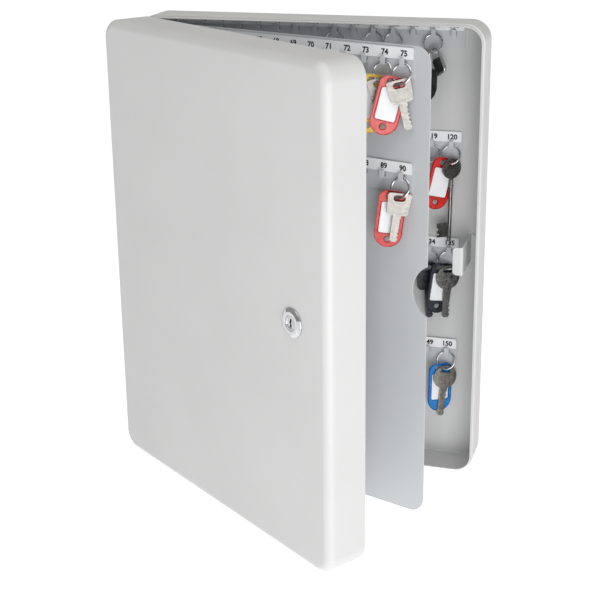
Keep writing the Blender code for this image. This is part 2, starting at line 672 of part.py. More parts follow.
def main():
    steel = finish("powder_grey", (0.56, 0.57, 0.57), 0.0, 0.5)
    inner = finish("powder_grey_inside", (0.52, 0.53, 0.54), 0.0, 0.55)
    white = finish("keeper_white", (0.7, 0.71, 0.71), 0.0, 0.45)
    zinc = finish("zinc_plate", (0.6, 0.6, 0.6), 0.9, 0.4)
    chrome = finish("chrome", (0.75, 0.75, 0.76), 1.0, 0.12)
    paper = finish("number_paper", (0.85, 0.85, 0.86), 0.0, 0.6)
    ring = finish("ring_steel", (0.55, 0.55, 0.55), 1.0, 0.25)
    nickel = finish("nickel_key", (0.62, 0.62, 0.6), 1.0, 0.3)
    dark = finish("dark_key", (0.25, 0.25, 0.25), 1.0, 0.4)
    tags = {
        "red": finish("red_tag", (0.75, 0.05, 0.03), 0.0, 0.3),
        "yellow": finish("yellow_tag", (0.8, 0.6, 0.05), 0.0, 0.3),
        "blue": finish("blue_tag", (0.02, 0.25, 0.7), 0.0, 0.3),
        "black": finish("black_tag", (0.02, 0.02, 0.025), 0.0, 0.3),
    }

    case = Body("case_group")
    door = Body("door_swing", DOOR_AXIS)
    leaf = Body("leaf_swing", LEAF_AXIS)
    lock = Body("lock_turn", (LOCK_X, DOOR_FACE, 0), door)

    make_case(case, steel)
    make_door(door, steel)
    for word, side in (("upper", 1), ("lower", -1)):
        make_hinge(case, door, f"hinge_{word}", side * HINGE_Z, zinc)
    make_leaf(leaf, inner)
    make_leaf_pivots(case, zinc)
    make_keeper(case, white)
    make_lock(door, lock, chrome, zinc)

    for i, z in enumerate(CASE_ROWS):
        make_hook_rows(case, f"case_row_{i + 1}", 0, -SHEET, [z], -1, inner, paper)
    leaf_x = LEAF_AXIS.x + LEAF_FIRST_HOOK + (HOOKS - 1) * PITCH / 2
    leaf_front = LEAF_AXIS.y - LEAF_SHEET / 2
    leaf_rear = LEAF_AXIS.y + LEAF_SHEET / 2
    for i, z in enumerate(LEAF_ROWS):
        make_hook_rows(leaf, f"leaf_row_{i + 1}", leaf_x, leaf_front, [z], -1, inner, paper)
    make_hook_rows(leaf, "leaf_rear", leaf_x, leaf_rear, LEAF_ROWS, 1, inner)
    make_hook_rows(door, "door_inside", 0, DOOR_FACE + SHEET, DOOR_ROWS, 1, inner)

    def case_hook(row, column):
        return hook_trough((column - 8) * PITCH, -SHEET, CASE_ROWS[row - 1])

    def leaf_hook(row, column):
        x = LEAF_AXIS.x + LEAF_FIRST_HOOK + (column - 1) * PITCH
        return hook_trough(x, leaf_front, LEAF_ROWS[row - 1])

    def item(word, mesh, mat, turn, tilt, crossing, shift):
        shift = [value * MM for value in shift]
        return (word, mesh, mat, turn, math.radians(tilt), crossing * MM, shift)

    def tag(color, tilt):
        return item("tag", tag_mesh(), tags[color], TAG_TURN, tilt, -4, (-1.5, 0, 2.9))

    def key(mesh, mat, tilt, turn=KEY_TURN, crossing=2, side=-0.3, rise=2.6):
        return item("key", mesh, mat, turn, tilt, crossing, (side, 0, rise))

    sets = [
        ("set_074", leaf, leaf_hook(1, 14), [
            tag("yellow", 9), key(square_key(), nickel, -14, math.radians(39), 1, -1.8, 2.2),
        ]),
        ("set_075", leaf, leaf_hook(1, 15), [
            tag("red", 14), key(square_key(), nickel, -13, math.radians(39), 1, -1.3, 2.3),
        ]),
        ("set_090", leaf, leaf_hook(2, 15), [tag("red", 7), key(square_key(), nickel, 8)]),
        ("set_099", case, case_hook(1, 9), []),
        ("set_101", case, case_hook(1, 11), []),
        ("set_102", case, case_hook(1, 12), []),
        ("set_104", case, case_hook(1, 14), [
            item("frame", fob_frame(), nickel, -TAG_TURN, -30, 3, (-2, 0, 3)),
            item("strap", strap(), tags["black"], -TAG_TURN, 2, 3, (3, -2.6, -17)),
        ]),
        ("set_119", case, case_hook(2, 14), []),
        ("set_120", case, case_hook(2, 15), [tag("red", 14), key(lever_key(), dark, 1)]),
        ("set_134", case, case_hook(3, 14), [
            key(moulded_key(), tags["black"], -4, TAG_TURN, -1, -0.5),
        ]),
        ("set_135", case, case_hook(3, 15), [
            tag("black", 8), key(round_key(), dark, 2, TAG_TURN, 0, 0.5, 2.2),
        ]),
        ("set_150", case, case_hook(4, 15), [
            tag("blue", 1), key(round_key(), nickel, 6, TAG_TURN, 0, 0.7, 2.3),
        ]),
    ]
    for name, carrier, hook, hung in sets:
        make_key_set(name, carrier, hook, ring, hung)

    door.turn(-DOOR_OPEN)
    leaf.turn(-LEAF_OPEN)


clear_scene()
PARTS = new_collection("key_cabinet")
CUTTERS = new_collection("cutters")
main()
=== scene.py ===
"""The looks of a wall key cabinet for 150 keys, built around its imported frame.

What is drawn here is drawn as it lies with the cabinet closed, in metres, and is then turned open
with the body that carries it. Hooks, hinges and the cam are finer copies of the frame's own nodes.
+X is right seen from the front, -Y is the front, +Z is up.
"""
import json
import math

import bmesh
import bpy
from mathutils import Matrix, Vector

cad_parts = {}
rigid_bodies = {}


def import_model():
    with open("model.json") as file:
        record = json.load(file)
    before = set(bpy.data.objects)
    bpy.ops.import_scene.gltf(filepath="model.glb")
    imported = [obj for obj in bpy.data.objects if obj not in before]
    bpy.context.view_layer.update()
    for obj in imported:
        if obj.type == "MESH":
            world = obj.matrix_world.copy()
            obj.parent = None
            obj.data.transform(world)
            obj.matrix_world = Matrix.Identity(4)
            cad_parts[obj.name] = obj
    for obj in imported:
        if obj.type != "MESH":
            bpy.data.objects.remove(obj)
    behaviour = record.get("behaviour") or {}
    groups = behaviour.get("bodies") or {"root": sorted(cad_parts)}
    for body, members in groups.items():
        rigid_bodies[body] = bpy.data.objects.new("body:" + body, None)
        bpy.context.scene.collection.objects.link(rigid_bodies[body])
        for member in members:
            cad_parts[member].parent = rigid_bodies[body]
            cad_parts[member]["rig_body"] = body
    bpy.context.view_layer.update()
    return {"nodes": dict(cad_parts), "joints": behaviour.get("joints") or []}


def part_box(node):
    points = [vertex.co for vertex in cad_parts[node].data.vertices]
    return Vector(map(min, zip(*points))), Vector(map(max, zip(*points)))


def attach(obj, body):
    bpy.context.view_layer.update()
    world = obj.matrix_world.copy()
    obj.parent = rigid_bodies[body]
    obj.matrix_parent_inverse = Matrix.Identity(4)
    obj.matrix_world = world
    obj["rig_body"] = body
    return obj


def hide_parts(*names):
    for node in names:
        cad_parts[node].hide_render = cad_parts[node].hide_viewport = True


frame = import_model()

MM = 0.001
GAP = 0.3 * MM
JOINTS = {joint["name"]: joint for joint in frame["joints"]}

# Shells
CASE_LOW, CASE_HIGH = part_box("case_pan")
WIDTH = CASE_HIGH.x - CASE_LOW.x
HEIGHT = CASE_HIGH.z - CASE_LOW.z
LIP_HEIGHT = 4.5 * MM
CASE_DEPTH = -CASE_LOW.y - LIP_HEIGHT
DOOR_DEPTH = 45 * MM
SHEET = 1.0 * MM
CORNER_RADIUS = 20 * MM
CASE_EDGE_RADIUS = 2.5 * MM
DOOR_EDGE_RADIUS = 9 * MM
SHOULDER = 2.2 * MM
BEND_OUTER = 1.2 * MM
BEND_INNER = 0.8 * MM
RIM_GAP = 0.4 * MM
SCREW_HOLE_RADIUS = 3 * MM
SCREW_HOLE_X = 95 * MM
SCREW_HOLE_Z = 185 * MM
HINGE_Z = 165 * MM
HINGE_CUT_HALF = 26 * MM
HINGE_CUT_DEPTH = 5 * MM

# Key leaf
LEAF_OPEN = math.radians(18.7)
LEAF_WIDTH = 344.5 * MM
LEAF_HALF_HEIGHT = 238 * MM
LEAF_SHEET = 1.2 * MM
LEAF_CORNER = 16 * MM
LEAF_CORNER_CUT = 10 * MM
LEAF_BARREL_HALF = 222 * MM
LEAF_BARREL_RADIUS = 3 * MM
LEAF_BORE_RADIUS = 1.8 * MM
LEAF_BORE_DEPTH = 14 * MM
NOTCH_DEPTH = 16 * MM
NOTCH_HALF = 26 * MM
NOTCH_Z = 1 * MM

# Hooks and number strips
PITCH = 21 * MM
HOOKS = 15
RAIL_SHEET = 1.0 * MM
RAIL_MARGIN = 11 * MM
HOOK_REACH = 5 * MM
STRIP_HEIGHT = 11 * MM
STRIP_BOTTOM = 6 * MM
STRIP_SHEET = 0.4 * MM
DIGIT_SIZE = 7.4 * MM
DIGIT_WEIGHT = 0.27 * MM
DIGIT_RISE = 3.0 * MM
PRINT_HALF = 0.03 * MM
PRINT_STANDOFF = 0.04 * MM
CASE_TOP_ROW = 225.5 * MM
CASE_ROW_PITCH = 116 * MM
CASE_ROWS = [CASE_TOP_ROW - i * CASE_ROW_PITCH for i in range(4)]
LEAF_ROWS = [219 * MM, 110 * MM]
LEAF_FIRST_HOOK = 23 * MM
LEAF_FIRST_NUMBER = 61
CASE_FIRST_NUMBER = 91

# Cam lock and keeper
LOCK_X = WIDTH / 2 - 50.6 * MM
LOCK_FACE = 3.0 * MM
BEZEL_RADIUS = 14.2 * MM
BARREL_RADIUS = 9.5 * MM
BARREL_LENGTH = 28 * MM
BARREL_CLEARANCE = 0.4 * MM
PLUG_RADIUS = 6.0 * MM
PLUG_HEAD_RADIUS = 7.0 * MM
PLUG_HEAD = 2.0 * MM
PLUG_TAIL = 7.0 * MM
PLUG_TAIL_LENGTH = 1.3 * MM
PLUG_THREAD_RADIUS = 2.3 * MM
KEYWAY_DEPTH = 16 * MM
HARDWARE_EDGE = 0.3 * MM
KEEPER_SHEET = 1.2 * MM
KEEPER_WEB_X = 170 * MM
KEEPER_FOOT = 11 * MM
KEEPER_FLANGE = 10.5 * MM
KEEPER_FRONT = 52.4 * MM
KEEPER_Z = 1 * MM
KEEPER_HALF = 15 * MM
KEEPER_CORNER = 4 * MM
KEEPER_BEND = 1.8 * MM

# Key sets
RING_RADIUS = 9.6 * MM
RING_WIRE = 0.8 * MM
RING_LEAN = math.radians(20)
TAG_TURN = math.radians(34)
KEY_TURN = math.radians(42)
TAG_WIDTH = 27 * MM
TAG_LENGTH = 56 * MM
TAG_THICKNESS = 2.2 * MM
TAG_SHOULDER = 8 * MM
TAG_TOP = 2.4 * MM
TAG_RIM_WIDTH = 1.1 * MM
TAG_RIM_RISE = 0.45 * MM
TAG_HOLE_RADIUS = 2.8 * MM
TAG_HOLE_DROP = 5.6 * MM
CARD_SIZE = (19.5 * MM, 31 * MM)
CARD_CENTRE = -24.4 * MM
CARD_CORNER = 2 * MM
CARD_PLAY = 0.2 * MM
CARD_THICKNESS = 0.9 * MM
EYE_WIDTH = 12 * MM
EYE_HEIGHT = 6 * MM
KEY_SHEET = 2.0 * MM
KEY_EDGE = 0.22 * MM
GROOVE_DEPTH = 0.3 * MM
PANEL_LINE = 0.7 * MM

# Room
FLOOR_Z = -0.9
FLOOR_HALF = 40
FLOOR_GLOW = 0.68
ROOM_LIGHT = 0.38
LIT_POINT = (0, -0.1, 0)
CAMERA_YAW = 0.3022
CAMERA_PITCH = -0.3049
CAMERA_ROLL = -0.0135
CAMERA_PLACE = (0.38039, -1.29983, 0.42360)
CAMERA_LENS = 76.93
CAMERA_SENSOR = 36
CAMERA_SHIFT = (0.0049, -0.1026)

# A noise's usual range, and the angle below which neighbouring faces shade as one
NOISE_LOW = 0.35
NOISE_HIGH = 0.65
SMOOTH_ANGLE = 35

DOOR_FACE = -CASE_DEPTH - DOOR_DEPTH
TOWARDS_FRONT = Matrix.Rotation(math.radians(90), 4, "X")


def at(x=0.0, y=0.0, z=0.0):
    return Matrix.Translation((x, y, z))


def swing_open(joint, angle):
    """Takes a piece from where it lies with the cabinet closed to where its joint holds it."""
    pivot = at(*joint["pos_m"])
    return pivot @ Matrix.Rotation(angle, 4, Vector(joint["axis"])) @ pivot.inverted()


CLOSED = Matrix.Identity(4)
DOOR_SWING = swing_open(JOINTS["door_hinge"], math.radians(-JOINTS["door_hinge"]["range_deg"][0]))
LEAF_SWING = swing_open(JOINTS["leaf_hinge"], LEAF_OPEN)
LEAF_AXIS = Vector(JOINTS["leaf_hinge"]["pos_m"])


# Finishes

def new_finish(name, roughness, metallic=0.0, specular=0.5):
    """A shader and the coordinates that its patterns use."""
    material = bpy.data.materials.new(name)
    material.use_nodes = True
    tree = material.node_tree
    shader = tree.nodes["Principled BSDF"]
    shader.inputs["Roughness"].default_value = roughness
    shader.inputs["Metallic"].default_value = metallic
    shader.inputs["Specular IOR Level"].default_value = specular
    place = tree.nodes.new("ShaderNodeTexCoord").outputs["Object"]
    return material, tree, shader, place


def noise(tree, place, scale, detail=2.0, stretch=(1, 1, 1)):
    mapping = tree.nodes.new("ShaderNodeMapping")
    mapping.inputs["Scale"].default_value = stretch
    tree.links.new(place, mapping.inputs["Vector"])
    texture = tree.nodes.new("ShaderNodeTexNoise")
    texture.inputs["Scale"].default_value = scale
    texture.inputs["Detail"].default_value = detail
    tree.links.new(mapping.outputs["Vector"], texture.inputs["Vector"])
    return texture.outputs["Fac"]


def tint(tree, shader, value, colors):
    """Colours from first to last over a noise's usual range."""
    ramp = tree.nodes.new("ShaderNodeValToRGB")
    ramp.color_ramp.elements[0].position = NOISE_LOW
    ramp.color_ramp.elements[1].position = NOISE_HIGH
    for element, color in zip(ramp.color_ramp.elements, colors):
        element.color = (*color, 1.0)
    tree.links.new(value, ramp.inputs["Fac"])
    tree.links.new(ramp.outputs["Color"], shader.inputs["Base Color"])


def gloss(tree, shader, value, low, high):
    """Roughness from low to high over a noise's usual range."""
    span = tree.nodes.new("ShaderNodeMapRange")
    span.inputs["From Min"].default_value = NOISE_LOW
    span.inputs["From Max"].default_value = NOISE_HIGH
    span.inputs["To Min"].default_value = low
    span.inputs["To Max"].default_value = high
    tree.links.new(value, span.inputs["Value"])
    tree.links.new(span.outputs["Result"], shader.inputs["Roughness"])


def relief(tree, shader, value, height):
    bump = tree.nodes.new("ShaderNodeBump")
    bump.inputs["Distance"].default_value = height
    tree.links.new(value, bump.inputs["Height"])
    tree.links.new(bump.outputs["Normal"], shader.inputs["Normal"])


def powder_coat(name, color, roughness=0.42):
    """Baked polyester powder: a fine orange peel, and a little unevenness in shade and gloss."""
    material, tree, shader, place = new_finish(name, roughness)
    tint(tree, shader, noise(tree, place, 9, 3), [color, [c * 1.035 for c in color]])
    gloss(tree, shader, noise(tree, place, 60, 2), roughness - 0.03, roughness + 0.03)
    relief(tree, shader, noise(tree, place, 520, 2), 0.035 * MM)
    return material


def plated(name, colors, roughness, wear=0.35, grain=0.012):
    """Plated or bare metal: shade and gloss vary with wear, and fine scratches run one way.

    Wear is the share by which the roughness varies, grain the scratches' height in mm.
    """
    scratches = (1, 1, 8)
    material, tree, shader, place = new_finish(name, roughness, metallic=1.0)
    tint(tree, shader, noise(tree, place, 260, 4), colors)
    blotches = noise(tree, place, 520, 3)
    gloss(tree, shader, blotches, roughness * (1 - wear), roughness * (1 + wear))
    relief(tree, shader, noise(tree, place, 900, 3, scratches), grain * MM)
    return material


def moulded(name, colors, roughness=0.3, glow=0.0, coat=0.12):
    """Moulded plastic. Glow is how much light passes through it, coat is its outer shine."""
    material, tree, shader, place = new_finish(name, roughness, specular=0.35)
    tint(tree, shader, noise(tree, place, 120, 2), colors)
    gloss(tree, shader, noise(tree, place, 300, 2), roughness * 0.8, roughness * 1.4)
    relief(tree, shader, noise(tree, place, 380, 2), 0.02 * MM)
    shader.inputs["Transmission Weight"].default_value = glow
    shader.inputs["Coat Weight"].default_value = coat
    return material


def printed_card(name, color):
    """Smooth white card with a faint fibre."""
    material, tree, shader, place = new_finish(name, 0.55)
    tint(tree, shader, noise(tree, place, 700, 4), [[c * 0.96 for c in color], color])
    gloss(tree, shader, noise(tree, place, 400, 2), 0.45, 0.62)
    relief(tree, shader, noise(tree, place, 1800, 2), 0.01 * MM)
    return material


COAT = powder_coat("light_grey_powder_coat", (0.555, 0.557, 0.556))
INNER_COAT = powder_coat("blue_grey_powder_coat", (0.51, 0.528, 0.548), 0.46)
KEEPER_COAT = powder_coat("white_grey_powder_coat", (0.6, 0.61, 0.61), 0.4)
ZINC = plated("bright_zinc_plate", [(0.55, 0.56, 0.57), (0.68, 0.68, 0.68)], 0.34)
CHROME = plated("polished_chrome", [(0.56, 0.57, 0.59), (0.66, 0.66, 0.67)], 0.07, grain=0.002)
PLUG_METAL = plated("satin_nickel_plug", [(0.5, 0.5, 0.51), (0.6, 0.6, 0.6)], 0.25, grain=0.006)
CARD = printed_card("white_card", (0.83, 0.84, 0.86))
INK = moulded("black_ink", [(0.004, 0.004, 0.005), (0.012, 0.012, 0.014)], 0.7, coat=0.0)
RING_STEEL = plated("ring_steel", [(0.36, 0.36, 0.37), (0.62, 0.62, 0.62)], 0.22)
BRIGHT_KEY = plated("bright_nickel_key", [(0.35, 0.338, 0.313), (0.4, 0.388, 0.36)], 0.55, 0.12)
NICKEL_KEY = plated("worn_bronze_key", [(0.26, 0.24, 0.21), (0.38, 0.355, 0.315)], 0.33, 0.25)
DARK_KEY = plated("dark_steel_key", [(0.13, 0.13, 0.13), (0.23, 0.225, 0.215)], 0.36, 0.25)
SILVER = plated("silvered_frame", [(0.66, 0.68, 0.7), (0.85, 0.86, 0.87)], 0.14)
BLACK_PLASTIC = moulded("black_plastic", [(0.012, 0.013, 0.018), (0.03, 0.032, 0.04)], 0.28)
LEATHER = moulded("black_leather", [(0.01, 0.01, 0.01), (0.03, 0.03, 0.03)], 0.5)
TAG_BODY = {
    "red": moulded("red_tag_plastic", [(0.56, 0.008, 0.004), (0.66, 0.014, 0.008)], 0.3, 0.06),
    "rose": moulded("rose_tag_plastic", [(0.68, 0.075, 0.07), (0.76, 0.11, 0.1)], 0.3, 0.1),
    "yellow": moulded("yellow_tag_plastic", [(0.7, 0.45, 0.015), (0.8, 0.55, 0.03)], 0.3, 0.08),
    "blue": moulded("blue_tag_plastic", [(0.006, 0.17, 0.5), (0.012, 0.24, 0.64)], 0.3, 0.08),
    "black": moulded("black_tag_plastic", [(0.006, 0.007, 0.014), (0.012, 0.014, 0.026)], 0.3),
}
TAG_RIM = {
    "red": moulded("red_tag_rim", [(0.3, 0.003, 0.002), (0.4, 0.006, 0.004)], 0.22),
    "rose": moulded("rose_tag_rim", [(0.36, 0.01, 0.009), (0.46, 0.018, 0.016)], 0.22),
    "yellow": moulded("yellow_tag_rim", [(0.56, 0.32, 0.006), (0.66, 0.4, 0.012)], 0.22),
    "blue": moulded("blue_tag_rim", [(0.002, 0.07, 0.3), (0.004, 0.11, 0.4)], 0.22),
    "black": moulded("black_tag_rim", [(0.004, 0.005, 0.01), (0.008, 0.009, 0.018)], 0.22),
}


# Shapes

def arc(cx, cy, radius, start, end, steps):
    """Points on an arc, angles in degrees, both ends included."""
    angles = [math.radians(start + (end - start) * i / steps) for i in range(steps + 1)]
    return [(cx + radius * math.cos(a), cy + radius * math.sin(a)) for a in angles]


def circle(cx, cy, radius, steps):
    return arc(cx, cy, radius, 0, 360, steps)[:-1]


def rounded(width, height, radius, steps=6, cx=0.0, cy=0.0):
    x, y = width / 2 - radius, height / 2 - radius
    corners = [(x, y, 0), (-x, y, 90), (-x, -y, 180), (x, -y, 270)]
    return [p for px, py, a in corners for p in arc(cx + px, cy + py, radius, a, a + 90, steps)]


def ease(bm, width, segments=2, angle=SMOOTH_ANGLE):
    """Rounds every edge that is sharper than the angle, in degrees."""
    bm.normal_update()
    sharp = [e for e in bm.edges if e.is_manifold and e.calc_face_angle() > math.radians(angle)]
    bmesh.ops.bevel(
        bm, geom=sharp, offset=width, segments=segments, profile=0.5, affect="EDGES",
        material=-1, offset_type="OFFSET", clamp_overlap=True,
    )


def sheet_metal(outlines, thickness, edge=0.2 * MM, segments=2):
    """A flat sheet about Z = 0 with eased edges. Outlines inside the first one are holes."""
    bm = bmesh.new()
    edges = []
    for outline in outlines:
        verts = [bm.verts.new((x, y, -thickness / 2)) for x, y in outline]
        edges += [bm.edges.new(pair) for pair in zip(verts, verts[1:] + verts[:1])]
    bmesh.ops.triangle_fill(bm, use_beauty=True, edges=edges)
    raised = bmesh.ops.extrude_face_region(bm, geom=bm.faces[:], use_keep_orig=True)["geom"]
    top = [v for v in raised if isinstance(v, bmesh.types.BMVert)]
    bmesh.ops.translate(bm, vec=(0, 0, thickness), verts=top)
    bmesh.ops.recalc_face_normals(bm, faces=bm.faces)
    bmesh.ops.dissolve_limit(bm, angle_limit=0.01, verts=bm.verts, edges=bm.edges)
    if edge:
        ease(bm, edge, segments)
    return bm


def block(low, high):
    bm = bmesh.new()
    bmesh.ops.create_cube(bm, size=1.0)
    low, high = Vector(low), Vector(high)
    bmesh.ops.scale(bm, vec=high - low, verts=bm.verts)
    bmesh.ops.translate(bm, vec=(high + low) / 2, verts=bm.verts)
    return bm


def rod(radius, low, high, steps=32):
    bm = bmesh.new()
    bmesh.ops.create_cone(
        bm, cap_ends=True, segments=steps, radius1=radius, radius2=radius, depth=high - low
    )
    bmesh.ops.translate(bm, vec=(0, 0, (low + high) / 2), verts=bm.verts)
    return bm


def turned(profile, steps):
    """A closed (radius, height) section turned about Z."""
    bm = bmesh.new()
    verts = [bm.verts.new((r, 0, z)) for r, z in profile]
    edges = [bm.edges.new(pair) for pair in zip(verts, verts[1:] + verts[:1])]
    bmesh.ops.spin(
        bm, geom=verts + edges, cent=(0, 0, 0), axis=(0, 0, 1), angle=math.tau, steps=steps,
        use_merge=True,
    )
    bmesh.ops.remove_doubles(bm, verts=bm.verts, dist=1e-6)
    loose = [e for e in bm.edges if not e.link_faces]
    bmesh.ops.delete(bm, geom=loose, context="EDGES")
    bmesh.ops.recalc_face_normals(bm, faces=bm.faces)
    return bm


def new_piece(name, bm, *materials, smooth=SMOOTH_ANGLE):
    mesh = bpy.data.meshes.new(name)
    bm.to_mesh(mesh)
    bm.free()
    for material in materials:
        mesh.materials.append(material)
    mesh.shade_smooth()
    mesh.set_sharp_from_angle(angle=math.radians(smooth))
    piece = bpy.data.objects.new(name, mesh)
    bpy.context.scene.collection.objects.link(piece)
    return piece


def settle(piece):
    """Makes the piece's modifiers part of its mesh."""
    depsgraph = bpy.context.evaluated_depsgraph_get()
    mesh = bpy.data.meshes.new_from_object(piece.evaluated_get(depsgraph))
    piece.modifiers.clear()
    piece.data = mesh
    mesh.shade_smooth()
    mesh.set_sharp_from_angle(angle=math.radians(SMOOTH_ANGLE))


def cut(piece, tools, operation="DIFFERENCE"):
    """Cuts or joins tool shapes, one after another, and removes the tools."""
    for bm in tools:
        tool = new_piece("tool", bm)
        modifier = piece.modifiers.new("cut", "BOOLEAN")
        modifier.operation = operation
        modifier.object = tool
        modifier.solver = "EXACT"
        settle(piece)
        bpy.data.objects.remove(tool, do_unlink=True)


def placed(bm, place):
    bmesh.ops.transform(bm, matrix=place, verts=bm.verts)
    return bm


def fit(piece, place, body, slot, *nodes):
    """Puts the piece's mesh in its place, says what it rides on and hides the nodes it stands for.
    """
    piece.data.transform(place)
    shading = piece.modifiers.new("flat faces stay flat", "WEIGHTED_NORMAL")
    shading.keep_sharp = True
    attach(piece, body)
    if nodes:
        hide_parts(*nodes)
    return piece


# Shells

def tray(front, back, closed_y, edge_radius, edge_steps, lip=False):
    """A drawn tray's outer skin: rounded corners and a closed end with rounded edges."""
    bm = block((-WIDTH / 2, front, -HEIGHT / 2), (WIDTH / 2, back, HEIGHT / 2))
    deep = [e for e in bm.edges if abs(e.verts[0].co.y - e.verts[1].co.y) > MM]
    bmesh.ops.bevel(
        bm, geom=deep, offset=CORNER_RADIUS, segments=14, profile=0.5, affect="EDGES",
        material=-1, offset_type="OFFSET",
    )
    rim = [e for e in bm.edges if all(abs(v.co.y - closed_y) < 1e-6 for v in e.verts)]
    bmesh.ops.bevel(
        bm, geom=rim, offset=edge_radius, segments=edge_steps, profile=0.5, affect="EDGES",
        material=-1, offset_type="OFFSET",
    )
    open_y = front if closed_y == back else back
    mouth = [f for f in bm.faces if all(abs(v.co.y - open_y) < 1e-6 for v in f.verts)]
    if lip:
        bmesh.ops.inset_region(bm, faces=mouth, thickness=SHOULDER, use_even_offset=True)
        raised = bmesh.ops.extrude_face_region(bm, geom=mouth)["geom"]
        corners = [v for v in raised if isinstance(v, bmesh.types.BMVert)]
        bmesh.ops.translate(bm, vec=(0, -LIP_HEIGHT, 0), verts=corners)
        bmesh.ops.delete(bm, geom=mouth, context="FACES")
        mouth = [f for f in raised if isinstance(f, bmesh.types.BMFace)]
    bmesh.ops.delete(bm, geom=mouth, context="FACES")
    loose = [v for v in bm.verts if not v.link_faces]
    bmesh.ops.delete(bm, geom=loose, context="VERTS")
    if lip:
        for convex, radius in ((True, BEND_OUTER), (False, BEND_INNER)):
            bm.normal_update()
            bends = [
                e for e in bm.edges
                if e.is_manifold and all(abs(v.co.y - open_y) < 1e-6 for v in e.verts)
                and e.calc_face_angle() > math.radians(45) and e.is_convex == convex
            ]
            bmesh.ops.bevel(
                bm, geom=bends, offset=radius, segments=3, profile=0.5, affect="EDGES",
                material=-1, offset_type="OFFSET",
            )
    return bm


def pressed_shell(name, skin):
    """Gives a skin its sheet thickness and a softened rim."""
    shell = new_piece(name, skin, COAT)
    wall = shell.modifiers.new("sheet", "SOLIDIFY")
    wall.thickness = SHEET
    wall.offset = -1
    wall.use_even_offset = True
    settle(shell)
    bm = bmesh.new()
    bm.from_mesh(shell.data)
    ease(bm, 0.25 * MM, 2, 60)
    bm.to_mesh(shell.data)
    bm.free()
    return shell


def hinge_gaps(low_y, high_y, inner_x):
    """Blocks that cut the two hinge gaps in a left wall, from low_y to high_y."""
    return [
        block(
            (-WIDTH, low_y, side * HINGE_Z - HINGE_CUT_HALF),
            (inner_x, high_y, side * HINGE_Z + HINGE_CUT_HALF),
        )
        for side in (1, -1)
    ]


def make_case_shell():
    skin = tray(-CASE_DEPTH, 0, 0, CASE_EDGE_RADIUS, 5, lip=True)
    shell = pressed_shell("case_shell", skin)
    inner_x = -WIDTH / 2 + SHOULDER + SHEET + MM
    cut(shell, hinge_gaps(-CASE_DEPTH - 2 * LIP_HEIGHT, -CASE_DEPTH + HINGE_CUT_DEPTH, inner_x))
    holes = [(x, z) for x in (-SCREW_HOLE_X, SCREW_HOLE_X) for z in (-SCREW_HOLE_Z, SCREW_HOLE_Z)]
    drills = [
        placed(rod(SCREW_HOLE_RADIUS, -5 * MM, 5 * MM, 32), at(x, 0, z) @ TOWARDS_FRONT)
        for x, z in holes
    ]
    cut(shell, drills)
    fit(shell, CLOSED, "case", "powder_coat", "case_pan")


def make_door_shell():
    rim = -CASE_DEPTH - RIM_GAP
    shell = pressed_shell("door_shell", tray(DOOR_FACE, rim, DOOR_FACE, DOOR_EDGE_RADIUS, 10))
    inner_x = -WIDTH / 2 + SHEET + GAP
    cut(shell, hinge_gaps(rim - HINGE_CUT_DEPTH, rim + HINGE_CUT_DEPTH, inner_x))
    hole = rod(BARREL_RADIUS + BARREL_CLEARANCE, -5 * MM, 5 * MM, 48)
    cut(shell, [placed(hole, at(LOCK_X, DOOR_FACE, 0) @ TOWARDS_FRONT)])
    fit(shell, DOOR_SWING, "door", "powder_coat", "door_pan")


def leaf_outline():
    """The leaf's sheet from its axis at x = 0 to its free edge, with a notch for the keeper."""
    top, right, cut_x = LEAF_HALF_HEIGHT, LEAF_WIDTH, LEAF_CORNER_CUT
    radius = (NOTCH_HALF**2 + NOTCH_DEPTH**2) / (2 * NOTCH_DEPTH)
    centre = right - NOTCH_DEPTH + radius
    spread = math.degrees(math.asin(NOTCH_HALF / radius))
    in_x, in_z = right - LEAF_CORNER, top - LEAF_CORNER
    points = [(cut_x, -top)] + arc(in_x, -in_z, LEAF_CORNER, 270, 360, 12)
    points += arc(centre, NOTCH_Z, radius, 180 + spread, 180 - spread, 28)
    points += arc(in_x, in_z, LEAF_CORNER, 0, 90, 12) + [(cut_x, top)]
    joined = LEAF_BARREL_HALF - MM
    return points + [(cut_x, joined), (0.1 * MM, joined), (0.1 * MM, -joined), (cut_x, -joined)]


def make_leaf_panel():
    panel = new_piece("leaf_panel", sheet_metal([leaf_outline()], LEAF_SHEET, 0.3 * MM), INNER_COAT)
    panel.data.transform(TOWARDS_FRONT)
    cut(panel, [rod(LEAF_BARREL_RADIUS, -LEAF_BARREL_HALF, LEAF_BARREL_HALF, 40)], "UNION")
    bore = LEAF_BARREL_HALF - LEAF_BORE_DEPTH
    cut(panel, [rod(LEAF_BORE_RADIUS, bore, HEIGHT), rod(LEAF_BORE_RADIUS, -HEIGHT, -bore)])
    fit(panel, LEAF_SWING @ at(*LEAF_AXIS), "leaf", "powder_coat_inside", "key_leaf")


# Pieces whose shape the frame already holds

def refined(name, node, material, slot, edge=0.15 * MM):
    """A merged copy of a node with its edges eased."""
    bm = bmesh.new()
    bm.from_mesh(frame["nodes"][node].data)
    bmesh.ops.remove_doubles(bm, verts=bm.verts, dist=1e-6)
    bmesh.ops.dissolve_limit(bm, angle_limit=0.01, verts=bm.verts, edges=bm.edges)
    ease(bm, edge)
    piece = new_piece(name, bm, material)
    fit(piece, CLOSED, frame["nodes"][node]["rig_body"], slot, node)


